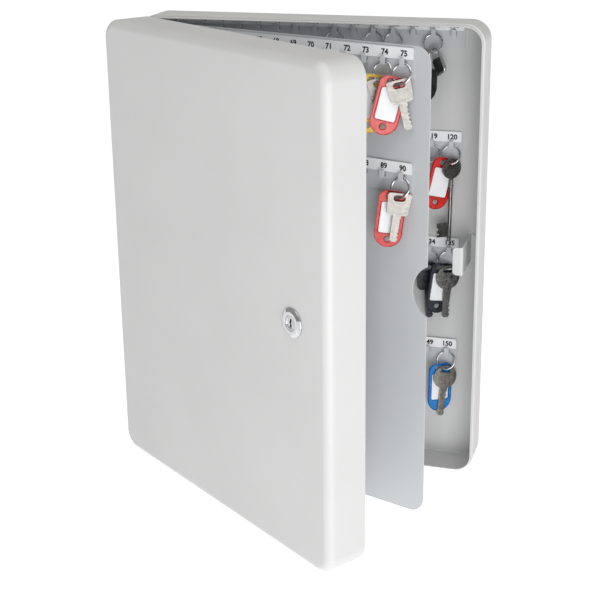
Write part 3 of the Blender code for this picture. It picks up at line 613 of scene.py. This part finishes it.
def make_hardware():
    for word in ("upper", "lower"):
        for part in ("case_plate", "door_plate", "pin"):
            refined(f"{word}_hinge_{part}", f"hinge_{word}_{part}", ZINC, "zinc_plate")
        refined(f"{word}_leaf_bracket", f"leaf_pivot_bracket_{word}", ZINC, "zinc_plate")
        refined(f"{word}_leaf_pin", f"leaf_pivot_pin_{word}", ZINC, "zinc_plate")
    refined("cam_nut", "lock_nut", ZINC, "zinc_plate", HARDWARE_EDGE)
    refined("locking_cam", "lock_cam", ZINC, "zinc_plate", HARDWARE_EDGE)
    refined("cam_fixing_screw", "cam_screw", ZINC, "zinc_plate", HARDWARE_EDGE)
    for panel, rows in (("case", CASE_ROWS), ("leaf", LEAF_ROWS)):
        for i in range(1, len(rows) + 1):
            node = f"{panel}_row_{i}_hooks"
            refined(f"hooks_{panel}_{i}", node, INNER_COAT, "powder_coat_inside")
    refined("hooks_leaf_rear", "leaf_rear_hooks", INNER_COAT, "powder_coat_inside")
    refined("hooks_door_inside", "door_inside_hooks", INNER_COAT, "powder_coat_inside")


# Number strips

def number_mesh(number):
    """A printed number as a thin mesh, standing on y = 0 and centred on x = 0."""
    text = bpy.data.curves.new("number", "FONT")
    text.body = str(number)
    text.size = DIGIT_SIZE
    text.align_x = "CENTER"
    text.resolution_u = 3
    text.offset = DIGIT_WEIGHT
    text.extrude = PRINT_HALF
    writer = bpy.data.objects.new("number", text)
    bpy.context.scene.collection.objects.link(writer)
    depsgraph = bpy.context.evaluated_depsgraph_get()
    mesh = bpy.data.meshes.new_from_object(writer.evaluated_get(depsgraph))
    bpy.data.objects.remove(writer, do_unlink=True)
    bpy.data.curves.remove(text)
    return mesh


def make_number_strip(name, node, body, centre_x, panel_y, row, first, swing):
    """A card strip with a number over each hook, printed a hair proud of the card."""
    half = (HOOKS - 1) * PITCH / 2 + RAIL_MARGIN - MM
    back = panel_y - 2 * GAP - RAIL_SHEET
    front = back - STRIP_SHEET
    low = row + STRIP_BOTTOM
    bm = block((centre_x - half, front, low), (centre_x + half, back, low + STRIP_HEIGHT))
    ease(bm, 0.08 * MM)
    for i in range(HOOKS):
        mesh = number_mesh(first + i)
        x = centre_x + (i - (HOOKS - 1) / 2) * PITCH
        mesh.transform(at(x, front - PRINT_STANDOFF, low + DIGIT_RISE) @ TOWARDS_FRONT)
        card_and_earlier = set(bm.faces)
        bm.from_mesh(mesh)
        for face in set(bm.faces) - card_and_earlier:
            face.material_index = 1
        bpy.data.meshes.remove(mesh)
    bmesh.ops.remove_doubles(bm, verts=bm.verts, dist=1e-7)
    fit(new_piece(name, bm, CARD, INK), swing, body, "number_strip", node)


def make_number_strips():
    for i, row in enumerate(CASE_ROWS):
        make_number_strip(
            f"numbers_case_{i + 1}", f"case_row_{i + 1}_number_strip", "case", 0, -SHEET, row,
            CASE_FIRST_NUMBER + i * HOOKS, CLOSED,
        )
    centre_x = LEAF_AXIS.x + LEAF_FIRST_HOOK + (HOOKS - 1) * PITCH / 2
    for i, row in enumerate(LEAF_ROWS):
        make_number_strip(
            f"numbers_leaf_{i + 1}", f"leaf_row_{i + 1}_number_strip", "leaf", centre_x,
            LEAF_AXIS.y - LEAF_SHEET / 2, row, LEAF_FIRST_NUMBER + i * HOOKS, LEAF_SWING,
        )


# Lock and keeper

def make_keeper():
    """A folded strip: foot on the case's back, web forward, and a flange the cam turns behind."""
    t, web, front, bend = KEEPER_SHEET, KEEPER_WEB_X, -KEEPER_FRONT, KEEPER_BEND
    back = -SHEET - GAP
    outline = [(web + KEEPER_FOOT, back), (web + KEEPER_FOOT, back - t)]
    outline += arc(web + bend - t, back - bend, bend - t, 90, 180, 5)
    outline += arc(web - bend, front + bend, bend, 0, -90, 7)
    outline += [(web - KEEPER_FLANGE, front), (web - KEEPER_FLANGE, front + t)]
    outline += arc(web - bend, front + bend, bend - t, 270, 360, 5)
    outline += arc(web + bend - t, back - bend, bend, 180, 90, 7)
    bm = sheet_metal([outline], 2 * KEEPER_HALF, 0)
    tip = [
        e for e in bm.edges
        if all(v.co.x < web - KEEPER_FLANGE + 0.5 * MM for v in e.verts)
        and abs(e.verts[0].co.y - e.verts[1].co.y) > 0.5 * MM
    ]
    bmesh.ops.bevel(
        bm, geom=tip, offset=KEEPER_CORNER, segments=8, profile=0.5, affect="EDGES",
        material=-1, offset_type="OFFSET",
    )
    ease(bm, 0.25 * MM, 2, 50)
    keeper = new_piece("cam_keeper", bm, KEEPER_COAT)
    fit(keeper, at(z=KEEPER_Z), "case", "keeper_coat", "lock_keeper")


def keyway_outline():
    """A narrow warded slot that steps sideways twice, in mm before it is scaled."""
    right = [(1.5, 4.3), (1.5, 1.9), (0.7, 1.2), (0.7, -0.6), (1.5, -1.4), (1.5, -3.2), (0.8, -4.3)]
    left = [(-1, -4.3), (-1, -2), (-0.4, -1.2), (-1.5, 0.2), (-1.5, 1.6), (-0.7, 2.4), (-0.7, 4.3)]
    return [(x * MM, y * MM) for x, y in right + left]


def make_lock():
    """Heights run from the door's face: + is out of the door, - is into the cabinet."""
    place = DOOR_SWING @ at(LOCK_X, DOOR_FACE, 0) @ TOWARDS_FRONT
    bore, head = PLUG_RADIUS + GAP, PLUG_HEAD_RADIUS + GAP
    face, end = LOCK_FACE, -BARREL_LENGTH
    seat = face - PLUG_HEAD - 2 * GAP
    body = [(bore, end), (BARREL_RADIUS, end), (BARREL_RADIUS, GAP), (BEZEL_RADIUS, GAP)]
    body += [(BEZEL_RADIUS, 1.2 * MM), (BEZEL_RADIUS - 3.4 * MM, face), (head, face)]
    body += [(head, seat), (bore, seat)]
    bezel = turned(body, 72)
    ease(bezel, 0.3 * MM, 3, 20)
    fit(new_piece("lock_bezel", bezel, CHROME, smooth=50), place, "door", "chrome", "lock_body")

    shoulder, tail_end = end - GAP, end - 2 * GAP - PLUG_TAIL_LENGTH
    plug = [(0, shoulder), (PLUG_RADIUS, shoulder), (PLUG_RADIUS, seat + GAP)]
    plug += [(PLUG_HEAD_RADIUS, seat + GAP), (PLUG_HEAD_RADIUS, face - GAP)]
    plug += [(PLUG_HEAD_RADIUS - 1.6 * MM, face - GAP)]
    plug += [(PLUG_HEAD_RADIUS - 2.1 * MM, face - 3 * GAP), (0, face - 3 * GAP)]
    core = new_piece("lock_core", turned(plug, 56), PLUG_METAL)
    half = PLUG_TAIL / 2
    cut(core, [block((-half, -half, tail_end), (half, half, end + 4 * MM))], "UNION")
    keyway = sheet_metal([keyway_outline()], 2 * KEYWAY_DEPTH, 0)
    cut(core, [keyway, rod(PLUG_THREAD_RADIUS, 2 * end, end + 6 * MM)])
    fit(core, place, "lock_cylinder", "lock_plug", "lock_plug")


# What hangs on the hooks

def split_ring():
    """Two turns of flat wire side by side, with one short step from the first to the second."""
    bm = bmesh.new()
    section = bmesh.ops.create_circle(bm, cap_ends=False, segments=8, radius=1.0)["verts"]
    layer = RING_WIRE / 2
    bmesh.ops.scale(bm, vec=(RING_WIRE, layer * 0.98, 1), verts=section)
    upright = Matrix.Rotation(math.radians(90), 3, "X")
    bmesh.ops.rotate(bm, cent=(0, 0, 0), matrix=upright, verts=section)
    bmesh.ops.translate(bm, vec=(RING_RADIUS, 0, -layer), verts=section)
    geom = section + bm.edges[:]
    step = math.radians(25)
    runs = [(math.tau - step, 40, 0), (step, 5, 2 * layer), (math.tau - step, 40, 0)]
    for angle, steps, rise in runs:
        geom = bmesh.ops.spin(
            bm, geom=geom, cent=(0, 0, 0), axis=(0, 0, 1), angle=angle, steps=steps,
            dvec=(0, 0, rise / steps), use_merge=False,
        )["geom_last"]
    ends = [e for e in bm.edges if e.is_boundary]
    bmesh.ops.holes_fill(bm, edges=ends, sides=0)
    bmesh.ops.recalc_face_normals(bm, faces=bm.faces)
    return bm


def eye(width=EYE_WIDTH, height=EYE_HEIGHT):
    """The slot that the ring passes through, its top at the origin."""
    return rounded(width, height, height / 2 - 0.01 * MM, 6, 0, -height / 2)


def key_tag(color):
    """A tag, y up from the top of its eye: a window for the card and a hole in its round foot."""
    half, shoulder, top = TAG_WIDTH / 2, TAG_SHOULDER, TAG_TOP
    low = top - TAG_LENGTH + half
    outline = arc(half - shoulder, top - shoulder, shoulder, 0, 90, 8)
    outline += arc(shoulder - half, top - shoulder, shoulder, 90, 180, 8)
    outline += arc(0, low, half, 180, 360, 24)
    window = rounded(*CARD_SIZE, CARD_CORNER, 4, 0, CARD_CENTRE)
    foot = circle(0, low - TAG_HOLE_DROP, TAG_HOLE_RADIUS, 20)
    bm = sheet_metal([outline, eye(), window, foot], TAG_THICKNESS, 0)
    bm.normal_update()
    for side in (1, -1):
        face = [f for f in bm.faces if f.normal.z * side > 0.9]
        rim = bmesh.ops.inset_region(
            bm, faces=face, thickness=TAG_RIM_WIDTH, depth=-TAG_RIM_RISE, use_even_offset=True
        )["faces"]
        for f in rim:
            f.material_index = 1
    ease(bm, 0.15 * MM, 2, 40)
    return new_piece("tag", bm, TAG_BODY[color], TAG_RIM[color])


def tag_card():
    """The card that shows in a tag's window."""
    width, height = (size - CARD_PLAY for size in CARD_SIZE)
    outline = rounded(width, height, CARD_CORNER - CARD_PLAY / 2, 4, 0, CARD_CENTRE)
    return new_piece("card", sheet_metal([outline], CARD_THICKNESS, 0.1 * MM), CARD)


def blade(width, start, end, bite):
    """Down one side of a key's blade, round its tip, and up the side with five teeth."""
    half = width / 2
    points = [(-half, start), (-half, end + 2 * MM), (-half + 2 * MM, end), (half - 2 * MM, end)]
    teeth = 5
    step = (start - end - 6 * MM) / teeth
    for i in range(teeth):
        low = end + 3 * MM + i * step
        depth = bite * (0.6 + 0.4 * ((i * 3) % 4) / 3)
        points += [(half, low), (half - depth, low + 0.4 * step), (half - depth, low + 0.6 * step)]
    return points + [(half, start - 3 * MM), (half, start)]


def engraved(outlines, material, *grooves):
    """A key with shallow grooves cut in both faces; each groove is a list of outlines."""
    piece = new_piece("key", sheet_metal(outlines, KEY_SHEET, KEY_EDGE), material)
    for groove_outlines in grooves:
        for side in (1, -1):
            tool = sheet_metal(groove_outlines, 2 * GROOVE_DEPTH, 0)
            cut(piece, [placed(tool, at(z=side * KEY_SHEET / 2))])
    return piece


def groove(width, top, bottom, x=0.0):
    """A milled groove down a blade."""
    return [rounded(width, top - bottom, width / 2 - 0.01 * MM, 4, x, (top + bottom) / 2)]


def panel_line(width, height, cy):
    """A thin line round a panel in a key's head."""
    return [
        rounded(width, height, 2.4 * MM, 4, 0, cy),
        rounded(width - 2 * PANEL_LINE, height - 2 * PANEL_LINE, 1.8 * MM, 4, 0, cy),
    ]


def square_key(material):
    """A cylinder-lock key with a squarish head and a long slot for the ring."""
    outline = arc(9 * MM, -0.5 * MM, 2.5 * MM, 0, 90, 5)
    outline += arc(-9 * MM, -0.5 * MM, 2.5 * MM, 90, 180, 5)
    outline += arc(-6.5 * MM, -16 * MM, 4 * MM, 180, 270, 5)
    outline += blade(8 * MM, -20 * MM, -46 * MM, 1.9 * MM)
    outline += arc(6.5 * MM, -16 * MM, 4 * MM, 270, 360, 5)
    return engraved(
        [outline, eye()], material, panel_line(17 * MM, 10.5 * MM, -12.6 * MM),
        groove(1.3 * MM, -20.5 * MM, -43 * MM, -1.4 * MM),
    )


def round_key(material):
    """A cylinder-lock key with a round head and a bordered slot."""
    radius = 13.5 * MM
    outline = arc(0, 2 * MM - radius, radius, -70, 250, 40)
    outline += blade(8.4 * MM, -25 * MM, -57 * MM, 2 * MM)
    return engraved(
        [outline, eye()], material, panel_line(19 * MM, 9.5 * MM, -14.4 * MM),
        groove(1.4 * MM, -25 * MM, -54 * MM, -1.2 * MM),
        groove(0.8 * MM, -26 * MM, -52 * MM, 0.6 * MM),
    )


def lever_key(material):
    """A lever-lock key: round bow, a long round shank with a collar, and a notched bit."""
    bow = arc(0, -7.5 * MM, 11 * MM, -78, 258, 40)
    shank = [(-1, -20), (-1, -66), (-15, -66), (-15, -71), (-13, -71), (-13, -74), (-15, -74)]
    shank += [(-15, -77), (-12, -77), (-12, -79), (-15, -79), (-15, -81), (-1, -81)]
    shank += [(1, -81), (1, -20)]
    outline = bow + [(x * MM, y * MM) for x, y in shank]
    bm = sheet_metal([outline, eye(8.6 * MM, 4.6 * MM)], 2.2 * MM, 0.3 * MM, 3)
    piece = new_piece("key", bm, material)
    stem = [(0, -87), (1.5, -87), (2, -86.5), (2, -27.6), (2.8, -27), (2.8, -25.4), (2, -24.8)]
    stem += [(2, -20), (1.2, -18.8), (0, -18.8)]
    upright = Matrix.Rotation(math.radians(-90), 4, "X")
    turned_stem = placed(turned([(r * MM, z * MM) for r, z in stem], 20), upright)
    cut(piece, [turned_stem], "UNION")
    return piece


def moulded_key():
    """A key with a moulded oval head and a toothed blade."""
    outline = arc(4 * MM, -5 * MM, 8 * MM, 0, 90, 8) + arc(-4 * MM, -5 * MM, 8 * MM, 90, 180, 8)
    outline += arc(-7 * MM, -22 * MM, 5 * MM, 180, 270, 6)
    outline += blade(8.4 * MM, -27 * MM, -60 * MM, 2 * MM)
    outline += arc(7 * MM, -22 * MM, 5 * MM, 270, 360, 6)
    bm = sheet_metal([outline, eye(10.4 * MM)], 3.0 * MM, 0.5 * MM, 3)
    for face in bm.faces:
        face.material_index = int(face.calc_center_median().y < -27.2 * MM)
    return new_piece("key", bm, BLACK_PLASTIC, DARK_KEY)


def fob_frame():
    """An open metal frame that hangs slantwise from the ring."""
    outer = rounded(17 * MM, 29 * MM, 6 * MM, 8, 0, -12.5 * MM)
    inner = rounded(12 * MM, 24 * MM, 4 * MM, 8, 0, -12.5 * MM)
    return new_piece("frame", sheet_metal([outer, inner], 3.0 * MM, 0.9 * MM, 4), SILVER)


def frame_insert():
    """The strap's loop, wrapped round the foot of the frame."""
    outline = rounded(11.6 * MM, 15 * MM, 3 * MM, 5, 0, -16.6 * MM)
    return new_piece("insert", sheet_metal([outline], 1.6 * MM, 0.4 * MM, 3), LEATHER)


def pointed_strap():
    """A short leather strap cut to a slanting point."""
    outline = [(-3.6 * MM, 0), (-3.6 * MM, -24 * MM), (-3.2 * MM, -32 * MM)]
    outline += [(1 * MM, -27 * MM), (3.6 * MM, -20 * MM), (3.6 * MM, 0)]
    return new_piece("strap", sheet_metal([outline], 1.6 * MM, 0.35 * MM, 3), LEATHER)


def hook_trough(x, panel_y, z):
    """The middle of a hook's trough, at the height of its floor."""
    return Vector((x, panel_y - GAP - (RAIL_SHEET + HOOK_REACH) / 2, z + RAIL_SHEET))


def case_hook(row, column):
    return hook_trough((column - 8) * PITCH, -SHEET, CASE_ROWS[row - 1])


def leaf_hook(row, column):
    x = LEAF_AXIS.x + LEAF_FIRST_HOOK + (column - 1) * PITCH
    return hook_trough(x, LEAF_AXIS.y - LEAF_SHEET / 2, LEAF_ROWS[row - 1])


def hang(number, swing, hook, hung):
    """A ring in a hook and what hangs on it.

    Each hung item is (word, piece, slot, turn, tilt, crossing, shift): turn is about the
    vertical, tilt swings the foot towards -X, crossing is where along X the ring passes its
    eye, and shift moves it along its own axes. A word that names no node is an extra piece.
    """
    body = f"set_{number:03d}"
    top = swing @ at(*hook) @ at(z=0.5 * MM + RING_WIRE)
    lean = top @ Matrix.Rotation(-RING_LEAN, 4, "X")
    ring = new_piece(f"ring_{number:03d}", split_ring(), RING_STEEL, smooth=50)
    spin = Matrix.Rotation(math.radians(37 * number % 360), 4, "Z")
    fit(ring, lean @ at(z=-RING_RADIUS) @ TOWARDS_FRONT @ spin, body, "ring_steel", f"{body}_ring")
    for word, piece, slot, turn, tilt, crossing, shift in hung:
        drop = RING_RADIUS + math.sqrt(RING_RADIUS**2 - (crossing * MM) ** 2)
        eye_point = lean @ Vector((crossing * MM, 0, -drop))
        pose = Matrix.Rotation(turn, 4, "Z") @ Matrix.Rotation(math.radians(tilt), 4, "Y")
        place = at(*eye_point) @ swing.to_3x3().to_4x4() @ pose @ at(*[s * MM for s in shift])
        piece.name = f"{word}_{number:03d}"
        nodes = [f"{body}_{word}"] if f"{body}_{word}" in frame["nodes"] else []
        fit(piece, place @ TOWARDS_FRONT, body, slot, *nodes)


def tag_items(color, slot, tilt):
    at_ring = (TAG_TURN, tilt, -4, (-1.5, 0, 2.9))
    return [("tag", key_tag(color), slot, *at_ring), ("card", tag_card(), "number_strip", *at_ring)]


def key_item(piece, slot, tilt, turn=KEY_TURN, crossing=2, side=-0.3, rise=2.6):
    return ("key", piece, slot, turn, tilt, crossing, (side, 0, rise))


def make_key_sets():
    toed = math.radians(39)
    hang(74, LEAF_SWING, leaf_hook(1, 14), tag_items("yellow", "yellow_tag", 9) + [
        key_item(square_key(BRIGHT_KEY), "bright_key", -14, toed, 1, -1.8, 2.2),
    ])
    hang(75, LEAF_SWING, leaf_hook(1, 15), tag_items("rose", "red_tag", 14) + [
        key_item(square_key(BRIGHT_KEY), "bright_key", -13, toed, 1, -1.3, 2.3),
    ])
    hang(90, LEAF_SWING, leaf_hook(2, 15), tag_items("red", "red_tag", 7) + [
        key_item(square_key(BRIGHT_KEY), "bright_key", 8),
    ])
    for number, column in ((99, 9), (101, 11), (102, 12)):
        hang(number, CLOSED, case_hook(1, column), [])
    hang(104, CLOSED, case_hook(1, 14), [
        ("frame", fob_frame(), "nickel_key", -TAG_TURN, -30, 3, (-2, 0, 3)),
        ("insert", frame_insert(), "strap", -TAG_TURN, -30, 3, (-2, 0, 3)),
        ("strap", pointed_strap(), "strap", -TAG_TURN, 2, 3, (3, -2.6, -17)),
    ])
    hang(119, CLOSED, case_hook(2, 14), [])
    hang(120, CLOSED, case_hook(2, 15), tag_items("red", "red_tag", 14) + [
        key_item(lever_key(DARK_KEY), "dark_key", 1),
    ])
    hang(134, CLOSED, case_hook(3, 14), [
        key_item(moulded_key(), "moulded_head_key", -4, TAG_TURN, -1, -0.5),
    ])
    hang(135, CLOSED, case_hook(3, 15), tag_items("black", "black_tag", 8) + [
        key_item(round_key(DARK_KEY), "dark_key", 2, TAG_TURN, 0, 0.5, 2.2),
    ])
    hang(150, CLOSED, case_hook(4, 15), tag_items("blue", "blue_tag", 1) + [
        key_item(round_key(NICKEL_KEY), "nickel_key", 6, TAG_TURN, 0, 0.7, 2.3),
    ])


# Room

def make_camera():
    """Angles are in radians: yaw about the vertical, pitch up and roll about the line of sight."""
    level = math.cos(CAMERA_PITCH)
    forward = Vector((
        -math.sin(CAMERA_YAW) * level, math.cos(CAMERA_YAW) * level, math.sin(CAMERA_PITCH)
    ))
    right = Vector((math.cos(CAMERA_YAW), math.sin(CAMERA_YAW), 0))
    up = right.cross(forward)
    side = math.cos(CAMERA_ROLL) * right + math.sin(CAMERA_ROLL) * up
    top = math.cos(CAMERA_ROLL) * up - math.sin(CAMERA_ROLL) * right
    data = bpy.data.cameras.new("camera")
    data.lens = CAMERA_LENS
    data.sensor_width = CAMERA_SENSOR
    data.shift_x, data.shift_y = CAMERA_SHIFT
    data.clip_end = 200
    camera = bpy.data.objects.new("camera", data)
    aim = Matrix((side, top, -forward)).transposed().to_4x4()
    camera.matrix_world = at(*CAMERA_PLACE) @ aim
    bpy.context.scene.collection.objects.link(camera)
    bpy.context.scene.camera = camera


def make_floor():
    bm = bmesh.new()
    bmesh.ops.create_grid(bm, x_segments=1, y_segments=1, size=FLOOR_HALF)
    floor = new_piece("floor", bm)
    floor.data.transform(at(z=FLOOR_Z))
    material, tree, shader, place = new_finish("white_floor", 0.9, specular=0.1)
    tint(tree, shader, noise(tree, place, 2), [(0.93, 0.93, 0.93), (0.95, 0.95, 0.95)])
    shader.inputs["Emission Color"].default_value = (1, 1, 1, 1)
    shader.inputs["Emission Strength"].default_value = FLOOR_GLOW
    floor.data.materials.append(material)


def softbox(name, location, size, power, color=(1, 1, 1)):
    data = bpy.data.lights.new(name, "AREA")
    data.shape = "RECTANGLE"
    data.size, data.size_y = size
    data.energy = power
    data.color = color
    light = bpy.data.objects.new(name, data)
    towards = Vector(LIT_POINT) - Vector(location)
    light.matrix_world = at(*location) @ towards.to_track_quat("-Z", "Y").to_matrix().to_4x4()
    bpy.context.scene.collection.objects.link(light)


def make_room():
    make_camera()
    make_floor()
    softbox("front_softbox", (0.55, -1.15, -0.15), (0.8, 0.8), 7.5)
    softbox("right_softbox", (1.7, -1.0, 0.5), (1.2, 1.6), 0.8)
    softbox("top_softbox", (0.2, -0.6, 1.8), (1.5, 1.5), 18, (1.0, 0.98, 0.95))
    world = bpy.data.worlds.new("pale_room")
    world.use_nodes = True
    background = world.node_tree.nodes["Background"]
    background.inputs["Color"].default_value = (1.0, 1.0, 1.0, 1)
    background.inputs["Strength"].default_value = ROOM_LIGHT
    bpy.context.scene.world = world
    bpy.context.scene.view_settings.view_transform = "Standard"


make_case_shell()
make_door_shell()
make_leaf_panel()
make_hardware()
make_number_strips()
make_keeper()
make_lock()
make_key_sets()
make_room()
